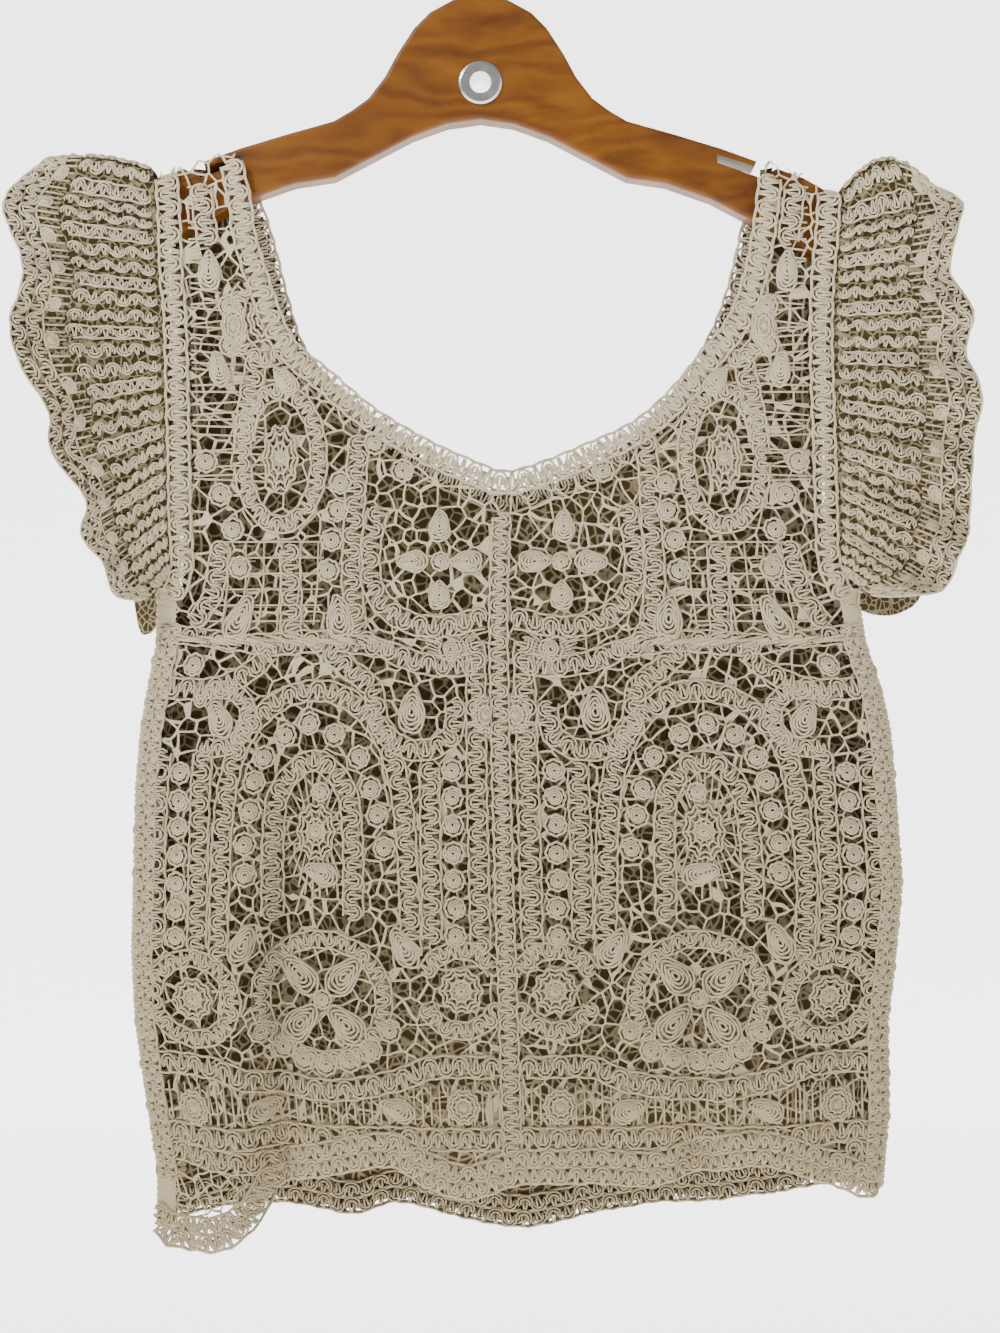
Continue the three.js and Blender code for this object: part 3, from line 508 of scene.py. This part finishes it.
tapeLines = [
    [(13, -398), (13, -440), (13, -500), (13, -556)], [(38, -462), (38, -500), (38, -552)],
    [(49, -560), (50, -520), (53, -480), (62, -450), (80, -431), (101, -425), (122, -431), (139, -450),
    (146, -480), (148, -520), (148, -560)],
    [(79, -540), (79, -500), (83, -474), (100, -460), (117, -474), (121, -500), (121, -540)],
    [(160, -455), (160, -500), (160, -556)], [(183, -455), (184, -500), (183, -556)],
    [(64, -332), (68, -355), (65, -375), (50, -389), (30, -393), (6, -388)],
    [(74, -296), (76, -320), (77, -345), (76, -380), (66, -402), (40, -412), (12, -412)],
    [(128, -404), (140, -416), (160, -424), (186, -424)],
    [(96, -404), (84, -414), (70, -424), (66, -440), (56, -452), (40, -455), (26, -447), (24, -430)],
    [(6, -613), (40, -613), (60, -620), (96, -625), (132, -620), (156, -613), (192, -613)],
    [(4, -648), (60, -648), (120, -648), (190, -648)], [(4, -664), (60, -668), (120, -662), (190, -656)],
    [(4, -679), (40, -682), (80, -676), (120, -673)],
    [(153, -168), (152, -182), (150, -198)], [(126, -256), (130, -275), (134, -300)],
    [(158, -392), (150, -374), (146, -350)], [(104, -404), (108, -384), (110, -352)],
    [(60, -404), (94, -400), (128, -402), (160, -398), (186, -396)]
]
rings = [(115, -307.5, 20, 34, 0, 360), (24, -575, 20, 20, 20, 160), (24, -575, 20, 20, 200, 340),
    (163, -579.5, 22, 20, 0, 360),
         (96, -580, 32, 30, 0, 360), (153, -439.5, 16, 15, 30, 300), (122, -236, 15, 21, 0, 360)]


def halfLace():
    lace = Pattern()
    for kind, x, z, a, b, angle in motifs:
        if kind == "leaf":
            leaf(lace, x, z, a, b, angle)
        elif kind == "medal":
            medallion(lace, x, z, a, b)
        else:
            rosette(lace, x, z, a)
    for x, z in rosetteSpots:
        rosette(lace, x, z, 5.4)
    for k in range(7):
        rosette(lace, 26, -465 - 13.8 * k, 5.2)
        rosette(lace, 172, -467 - 13.8 * k, 5.2)
    for line in tapeLines:
        tape(lace, curve(line, parts=6))
    for x, z, wide, tall, first, last in rings:
        ringTape(lace, x, z, wide, tall, 0.0085, first, last)
    lines = [(x, -622, x, -641) for x in np.arange(6, 190, 4.5)]
    threads(lace, [(a, b) for a, b, c, d in lines], [(c, d) for a, b, c, d in lines])
    for k in range(26):
        b = 2 * math.pi * k / 26
        threads(lace, [(98.5 + 10 * math.cos(b), -496 + 14 * math.sin(b))],
            [(98.5 + 17 * math.cos(b), -498 + 32 * math.sin(b))])
        threads(lace, [(27.5 + 6 * math.cos(b), -404 + 6 * math.sin(b))],
            [(27.5 + 14 * math.cos(b), -401 + 9 * math.sin(b))])
    for k in range(34):
        z = -168 - 4.6 * k
        threads(lace, [(150 - 1.4 * max(0, k - 8), z)], [(160, z + random.uniform(-3, 3))])
    for k in range(6):
        threads(lace, [(95 + 9.5 * k, -350)], [(95 + 9.5 * k, -392)])
        threads(lace, [(92, -350 - 8 * k)], [(150, -350 - 8 * k)])
    return lace


def middleAt(z):
    return np.interp(z, [-0.715, -0.645, -0.58, -0.539, -0.465, -0.385, -0.3165],
        [0.018, 0.016, 0.014, 0.0125, 0.0105, 0.009, 0.0115])


def sideShare(z, side):
    table = [(-700, -165.5, 204), (-670, -165.5, 207), (-640, -170.5, 209.5), (-596, -177, 209),
        (-558, -179, 213.5), (-523, -178, 216.5),
             (-475, -177, 213), (-446, -174.5, 210.5), (-425, -171, 206), (-402, -166.5, 198),
             (-380, -160, 190), (-340, -160, 184), (-230, -163, 180), (-150, -166, 183)]
    heights = [row[0] / 1000 for row in table]
    edge = np.interp(z, heights, [row[1 if side < 0 else 2] / 1000 for row in table])
    return np.abs(edge - middleAt(z))


def ontoSide(side, drape):
    def place(across, z, lift):
        reach = sideShare(z, side) * 0.93 / 0.184
        tall = z
        x = middleAt(tall) + side * across * np.where(tall > -0.4, sideShare(tall, side) / 0.176, reach)
        return drape.at(x, tall, lift)
    return place


# Threads of the lace that fall outside the cloth or on its bands are left out.
def kept(pattern, side, drape, word):
    inside = Pattern()
    tree = treeOf([f"{word}_left", f"{word}_right"])
    place = ontoSide(side, drape)
    for (length, thick), arrays in pattern.paths.items():
        flat = np.concatenate(arrays)
        spots = place(flat[..., 0], flat[..., 1], flat[..., 2])
        good = np.zeros(len(flat), bool)
        if length < 30:
            for k, path in enumerate(spots):
                good[k] = True
                for spot in (path[0], path[-1]) if length == 3 else (path.mean(0),):
                    hit = tree.ray_cast(Vector((spot[0], drape.face * 0.3, spot[2])),
                        Vector((0, -drape.face, 0)))
                    good[k] &= hit[0] is not None and hit[0].y * drape.face > -0.004
            flat = flat[good]
            if len(flat):
                inside.add(flat, thick)
        else:
            for path in flat:
                placed = place(path[:, 0], path[:, 1], path[:, 2])
                run = []
                for at, point in zip(path, placed):
                    hit = tree.ray_cast(Vector((point[0], drape.face * 0.3, point[2])),
                        Vector((0, -drape.face, 0)))
                    if hit[0] is not None and hit[0].y * drape.face > -0.004:
                        run.append(at)
                    else:
                        if len(run) > 2:
                            inside.add(np.array(run), thick)
                        run = []
                if len(run) > 2:
                    inside.add(np.array(run), thick)
    return inside


facings = {-1: np.array([0.0, -1.0, 0.0]), 1: np.array([0.0, 1.0, 0.0])}
lace = halfLace()
yarns = {}
for word, drape in (("front", frontDrape), ("back", backDrape)):
    for side, label in ((-1, "left"), (1, "right")):
        part = kept(lace, side, drape, word)
        yarns[word, label] = yarnPiece(f"{word}_{label}_yarn", part.batches(ontoSide(side, drape)),
            facings[drape.face])
        print("lace", word, label, len(yarns[word, label].data.polygons) * 2)

# The net under the yarn, one sheet for the front and one for the back.
def netSheet(name, drape, material):
    known = drape.known
    cell = known[:-1, :-1] & known[1:, :-1] & known[:-1, 1:] & known[1:, 1:]
    used = np.zeros_like(known)
    for di in (0, 1):
        for dj in (0, 1):
            used[di:di + cell.shape[0], dj:dj + cell.shape[1]] |= cell
    index = np.full(known.shape, -1)
    index[used] = np.arange(used.sum())
    i, j = np.nonzero(used)
    points = np.stack([gridX[i], drape.depth[i, j] - drape.face * 0.0009, gridZ[j]], 1)
    a, b = np.nonzero(cell)
    quads = np.stack([index[a, b], index[a + 1, b], index[a + 1, b + 1], index[a, b + 1]], 1)
    return meshFrom(name, points, quads, material), len(quads) * step * step


frontNet, frontArea = netSheet("front_net", frontDrape, netMaterial)
backNet, backArea = netSheet("back_net", backDrape, backNetMaterial)

# Bands: neck, armholes, middle and hem.
frontNeck = [(-127, -156), (-122, -178), (-120.5, -192), (-113, -217), (-100, -249), (-79, -268),
    (-56.5, -287), (-28, -304), (-6, -314), (11.5, -320),
             (30, -316), (57, -305), (80, -294), (99, -278), (115.5, -258), (130.5, -239), (139, -217),
             (143.5, -196), (146, -178), (147.5, -163)]
backNeck = [(-127, -156), (-118, -178), (-112, -198), (-106, -222), (-97, -249), (-78, -272),
    (-55, -291), (-28, -309), (-6, -320), (12, -327),
            (30, -322), (58, -311), (80, -298), (98, -282), (113, -262), (126, -239), (134, -217),
            (139, -196), (143, -178), (147, -163)]
leftArm = [(-160, -163), (-158.5, -180), (-157, -217), (-155, -236), (-153, -303), (-152.5, -335),
    (-151.5, -362), (-157, -378)]
rightArm = [(177.5, -171), (176.5, -190), (174, -217), (173, -250), (174.5, -300), (175.5, -335),
    (177, -360), (185, -378)]
frontHem = [(-165, -692), (-156, -698), (-131, -695), (-113, -683), (-102, -666), (-73, -658),
    (-44, -654), (-25, -663), (-5, -669), (20, -662),
            (65, -662), (88, -663), (137, -653), (173, -664), (194, -673), (202, -674)]
backHem = [(-164, -692), (-130, -688), (-102, -690), (-66, -692), (-44, -688), (-9, -697), (14, -701),
    (38, -699), (65, -693), (106, -690),
           (133, -684), (158, -680), (190, -674), (202, -673)]


def bandPiece(word, drape, neck, hem):
    bands = Pattern()
    tape(bands, curve(neck, parts=6), 0.0112, 0.0066, thick=1.35)
    tape(bands, curve(leftArm, parts=6), 0.0112, 0.0070, thick=1.3)
    tape(bands, curve(rightArm, parts=6), 0.0112, 0.0070, thick=1.3)
    middle = [(middleAt(z / 1000) * 1000, z) for z in range(-336, -660, -20)]
    tape(bands, curve(middle, parts=4), 0.0092, 0.0062, thick=1.05)
    for drop in (-4, 4):
        tape(bands, curve([(x, z + drop) for x, z in hem], parts=5), 0.0085, 0.0068, thick=1.3)
    for side, xs in ((-1, (-172, -168, -164, -160)), (1, (196, 200, 204, 208))):
        for offset in (3.2, 9.2):
            line = []
            for z in range(-392, -676, -8):
                edge = middleAt(z / 1000) + side * sideShare(z / 1000, side)
                line.append((edge * 1000 - side * offset, z))
            tape(bands, curve(line, parts=3), 0.0058, 0.0054, border=offset > 5, thick=1.1)
    batches = bands.batches(drape.at)
    if word == "back":
        inner = Pattern()
        tape(inner, curve(neck, parts=6), 0.0112, 0.0085)
        for drop in (-4, 4):
            tape(inner, curve([(x, z + drop) for x, z in hem], parts=5), 0.0085, 0.0078)
        batches += inner.batches(lambda x, z, lift: drape.at(x, z, -lift - 0.0012))
    return yarnPiece(f"{word}_bands_yarn", batches, facings[drape.face])


frontBands = bandPiece("front", frontDrape, frontNeck, frontHem)
backBands = bandPiece("back", backDrape, backNeck, backHem)
print("bands", len(frontBands.data.polygons) * 2)

# Side strips: rows of plain stitches round the side.
bodyRows = [(-380, -166, 194.5, 19), (-402, -166.5, 198, 19.5), (-425, -171, 206, 20),
    (-446, -174.5, 210.5, 20.5), (-475, -177, 213, 21),
            (-523, -178, 216.5, 22.5), (-558, -179, 213.5, 24), (-596, -177, 209, 26),
            (-640, -170.5, 209.5, 28), (-670, -165.5, 207, 29), (-715, -165.5, 204, 30)]


def sidePiece(name, side, low):
    heights = np.arange(-0.373, low, -0.0012)
    table = np.array(sorted(bodyRows)) / 1000
    left, right, depth = (np.interp(heights, table[:, 0], table[:, k]) for k in (1, 2, 3))
    turns = np.linspace(-1, 1, 15)
    reach = 0.935 + 0.065 * (1 - np.abs(turns) ** 2.2)
    flat = (1 - reach ** 2.6).clip(0) ** (1 / 2.6) * np.sign(turns)
    rib = 0.0011 * np.abs(np.sin(heights / 0.0031 * math.pi))[:,
        None] * (0.6 + 0.4 * np.abs(np.cos(turns * 7)))[None, :]
    x = (left + right)[:, None] / 2 + side * ((right - left)[:, None] / 2 * reach[None, :] + rib)
    y = depth[:, None] * flat[None, :]
    z = np.broadcast_to(heights[:, None], x.shape)
    points = np.stack([x, y, z], -1).reshape(-1, 3)
    rows, cols = x.shape
    a = (np.arange(rows - 1)[:, None] * cols + np.arange(cols - 1)[None, :]).ravel()
    quads = np.stack([a, a + 1, a + cols + 1, a + cols], 1)
    return meshFrom(name, points, quads, yarnMaterial)


leftSide = sidePiece("side_left", -1, -0.697)
rightSide = sidePiece("side_right", 1, -0.680)

# Ruffles: for each flute its root height, its edge and how far the edge stands forward or back.
ruffles = {
    "left": [(-365, -166, -379, -17, 17, 4), (-352, -182, -378, -27, 24, 18),
    (-336, -190, -361, -18, 30, 6), (-320, -198, -348, -33, 20, 8),
             (-304, -198, -330, -19, 34, 4), (-288, -212, -307, -36, 22, 4),
             (-272, -217, -285, -20, 36, 2), (-256, -228, -263, -35, 22, 3),
             (-240, -237, -239, -19, 34, 2), (-224, -228, -221, -30, 18, 3),
             (-208, -233, -203, -16, 28, 2), (-192, -239, -184, -24, 16, 0),
             (-180, -236, -169, -13, 18, 0)],
    "right": [(-365, 196, -377, -17, 17, 4), (-354, 215, -378, -30, 22, 8),
    (-341, 234, -374, -19, 32, 6), (-327, 238, -357, -35, 20, 6),
              (-313, 246, -344, -20, 36, 3), (-299, 243, -321, -37, 22, 4),
              (-284, 248, -298, -22, 38, 2), (-268, 248, -279, -38, 22, 3),
              (-252, 244, -255, -21, 36, 2), (-236, 245, -237, -33, 20, 2),
              (-220, 237, -215, -18, 30, 2), (-204, 238, -197, -27, 16, 0), (-190, 244, -178, -14, 18, 0)]
}
ruffleTops = {"left": (-166.6, -224, -155, 4, -160.5), "right": (184, 230, -166, 14, -171.5)}
armEdges = {
    "left": [(-370, -156.9), (-355, -157.6), (-335, -158.2), (-303, -158.4), (-270, -159.4),
    (-236, -160.7), (-217, -162.7), (-200, -163.5), (-180, -164.8)],
    "right": [(-370, 184.3), (-355, 182.4), (-335, 181), (-303, 180.4), (-270, 179.4), (-240, 179.1),
    (-217, 179.9), (-200, 180.9), (-184, 182.6)]
}


class Ruffle:
    def __init__(self, label):
        side = -1 if label == "left" else 1
        edgeTable = sorted(armEdges[label])
        rootXs = [b for a, b in edgeTable]
        rootZs = [a for a, b in edgeTable]
        roots, edges, lifts = [], [], []

        def bodyRoot(z, drape):
            x = np.interp(z, rootZs, rootXs) + side * 0.5
            point = drape.at(np.array([x / 1000]), np.array([z / 1000]), 0.0)[0] * 1000
            return [x, point[1], z]

        for z, x2, z2, frontY, backY, drop in ruffles[label]:
            roots.append(bodyRoot(z, frontDrape))
            edges.append([x2, frontY, z2])
            lifts.append(0)
        x, x2, z2, lift, z = ruffleTops[label]
        for y, ye, dx, dz in ((-7.9, -12, -2, -2), (0, 0, 0, 0), (7.9, 12, -3, -3)):
            roots.append([x + side * 0.5, y, z + 1 - abs(y) * 0.2])
            edges.append([x2 + side * dx, ye, z2 + dz])
            lifts.append(lift)
        for z, x2, z2, frontY, backY, drop in reversed(ruffles[label]):
            roots.append(bodyRoot(z, backDrape))
            edges.append([x2 - side * 3, backY, z2 - drop])
            lifts.append(0)
        root = curve(roots, parts=8)
        edge = curve(edges, parts=8)
        rise = np.interp(np.arange(len(root)), np.arange(len(lifts)) * 8, lifts) / 1000
        t = np.linspace(0, 1, 25)
        grid = root[:, None] + (edge - root)[:, None] * t[None, :, None]
        grid[..., 1] = root[:, None, 1] + (edge - root)[:, None, 1] * (t ** 1.25)[None, :]
        grid[..., 2] += rise[:, None] * np.sin(math.pi * t)[None, :]
        down = np.gradient(grid, axis=0)
        out = np.gradient(grid, axis=1)
        normal = np.cross(down, out)
        normal /= np.linalg.norm(normal, axis=2, keepdims=True) + 1e-12
        middle = grid.mean((0, 1))
        if (normal[20, 12] * np.array([0, -1.0, 0])).sum() < 0:
            normal = -normal
        self.grid, self.normal = grid, normal
        self.length = (len(roots) - 1) * 0.016

    def at(self, along, out, lift):
        u = np.clip(along / 0.016 * 8, 0, self.grid.shape[0] - 1.001)
        v = np.clip(out / 0.062 * 24, 0, 23.999)
        i, j = u.astype(int), v.astype(int)
        s, t = (u - i)[..., None], (v - j)[..., None]
        g, n = self.grid, self.normal
        flat = (g[i, j] * (1 - s) + g[i + 1, j] * s) * (1 - t) + (g[i, j + 1] * (1 - s) + g[i + 1,
            j + 1] * s) * t
        return flat + n[i, j] * (lift[..., None] + 0.0004)


def rufflePieces(label):
    form = Ruffle(label)
    rows, cols = form.grid.shape[:2]
    a = (np.arange(rows - 1)[:, None] * cols + np.arange(cols - 1)[None, :]).ravel()
    quads = np.stack([a, a + 1, a + cols + 1, a + cols], 1)
    net = meshFrom(f"ruffle_{label}_net", form.grid.reshape(-1, 3), quads, ruffleNetMaterial)
    work = Pattern()
    total = form.length * 1000
    for k, at in enumerate(np.arange(4, total - 3, 8)):
        tape(work, curve([(at, 2), (at, 20), (at, 39)], parts=5), 0.0054, 0.0060, border=k % 3 == 0,
            thick=0.9)
        if k % 2 == 0:
            rosette(work, at + 4, 46, 2.7)
    for place in (52.0, 58.6):
        tape(work, curve([(2, place), (total / 2, place), (total - 2, place)], parts=40), 0.0066, 0.0062)
    rungs = [(x, 40, x, 49) for x in np.arange(2, total - 1, 3.2)]
    threads(work, [(p, q) for p, q, r, s in rungs], [(r, s) for p, q, r, s in rungs], 0.9)
    yarn = yarnPiece(f"ruffle_{label}_yarn", work.batches(form.at), np.array([0.02, -1.0, 0.3]))
    print("ruffle", label, len(yarn.data.polygons) * 2)
    spans = np.linalg.norm(np.diff(form.grid, axis=0), axis=2).sum(0)
    deep = np.linalg.norm(np.diff(form.grid, axis=1), axis=2).sum(1).mean()
    return net, yarn, float(spans.mean()), float(deep)


leftNet, leftYarn, leftLong, leftDeep = rufflePieces("left")
rightNet, rightYarn, rightLong, rightDeep = rufflePieces("right")

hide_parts("front_left", "front_right", "front_centre_band", "front_neck_band",
    "front_hem_band", "front_armhole_left", "front_armhole_right")
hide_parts("back_left", "back_right", "back_centre_band", "back_neck_band", "back_hem_band",
    "back_armhole_left", "back_armhole_right")
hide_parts("side_seam_left")
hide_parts("side_seam_right")
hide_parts("ruffle_left")
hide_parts("ruffle_right")

# Hanger finish.
wood = Shader("hangerWood")
place = wood.place()
stretch = wood.node("ShaderNodeVectorMath", {"operation": "MULTIPLY"}, 0)
join(wood.tree, place, stretch.socket.node.inputs[0])
stretch.socket.node.inputs[1].default_value = (6.0, 12.0, 16.0)
swirl = wood.node("ShaderNodeTexNoise", None, 0, Vector=stretch, Scale=2.4, Detail=5.0, Distortion=1.6)
ringGrain = wood.node("ShaderNodeTexWave", {"bands_direction": "Z"}, 1, Vector=stretch, Scale=1.6,
    Distortion=14.0, Detail=3.0, Detail_Scale=1.4)
grain = wood.ramp(swirl * 0.8 + ringGrain * 0.2, [(0.25, (0.085, 0.024, 0.001)),
    (0.5, (0.155, 0.052, 0.002)), (0.75, (0.215, 0.083, 0.004))])
patch = wood.node("ShaderNodeTexNoise", None, 0, Vector=place, Scale=11.0, Detail=2.0)
wood.set(Base_Color=wood.mix(patch * 0.45, grain, (0.075, 0.017, 0.001, 1)), Roughness=0.45,
    Coat_Weight=0.05,
         Normal=wood.node("ShaderNodeBump", None, 0, Height=ringGrain, Strength=0.12, Distance=0.0005))
wood.surface.inputs["Specular IOR Level"].default_value = 0.3
steel = Shader("hangerSteel")
scratch = steel.node("ShaderNodeTexNoise", None, 0, Vector=steel.place(), Scale=220.0, Detail=3.0)
steel.set(Base_Color=(0.62, 0.62, 0.60, 1), Metallic=1.0, Roughness=scratch * 0.2 + 0.18)
for name, shader in (("hanger_wood", wood), ("eyelet", steel), ("hook", steel)):
    mesh = nodes[name].data
    mesh.materials.clear()
    mesh.materials.append(shader.material)

triangles = sum(len(p.vertices) - 2 for o in bpy.data.objects if o.type == "MESH" and o.name not in nodes
                for p in o.data.polygons)
print("triangles", triangles)

# Studio: pale backdrop, floor, soft lights, camera.
backdropShader = Shader("backdrop")
backdropShader.set(Base_Color=(0.95, 0.95, 0.95, 1), Roughness=0.95, Emission_Color=(1, 1, 1, 1),
    Emission_Strength=2.2)


def plane(name, size, place, turn):
    bpy.ops.mesh.primitive_plane_add(size=size, location=place, rotation=turn)
    made = bpy.context.object
    made.name = name
    made.data.materials.append(backdropShader.material)


plane("floor", 12, (0, 0, -1.5), (0, 0, 0))
plane("backdrop", 12, (0, 3.5, 0), (math.pi / 2, 0, 0))
world = bpy.data.worlds.new("studio")
bpy.context.scene.world = world
world.use_nodes = True
world.node_tree.nodes["Background"].inputs[0].default_value = (1.0, 0.99, 0.97, 1)
world.node_tree.nodes["Background"].inputs[1].default_value = 0.36


def lamp(name, place, size, power):
    light = bpy.data.lights.new(name, "AREA")
    light.size = size
    light.energy = power
    made = bpy.data.objects.new(name, light)
    made.location = place
    made.rotation_euler = (Vector((0, 0, -0.4)) - Vector(place)).to_track_quat("-Z", "Y").to_euler()
    bpy.context.scene.collection.objects.link(made)


lamp("key", (-1.1, -1.0, 0.9), 0.40, 36)
lamp("fill", (1.3, -1.4, 0.2), 1.0, 7)
camera = bpy.data.objects.new("camera", bpy.data.cameras.new("camera"))
camera.data.lens = 47.5
camera.location = (0.010, -0.905, -0.413)
camera.rotation_euler = (math.pi / 2, 0, 0)
bpy.context.scene.collection.objects.link(camera)
bpy.context.scene.camera = camera
print("studio set")
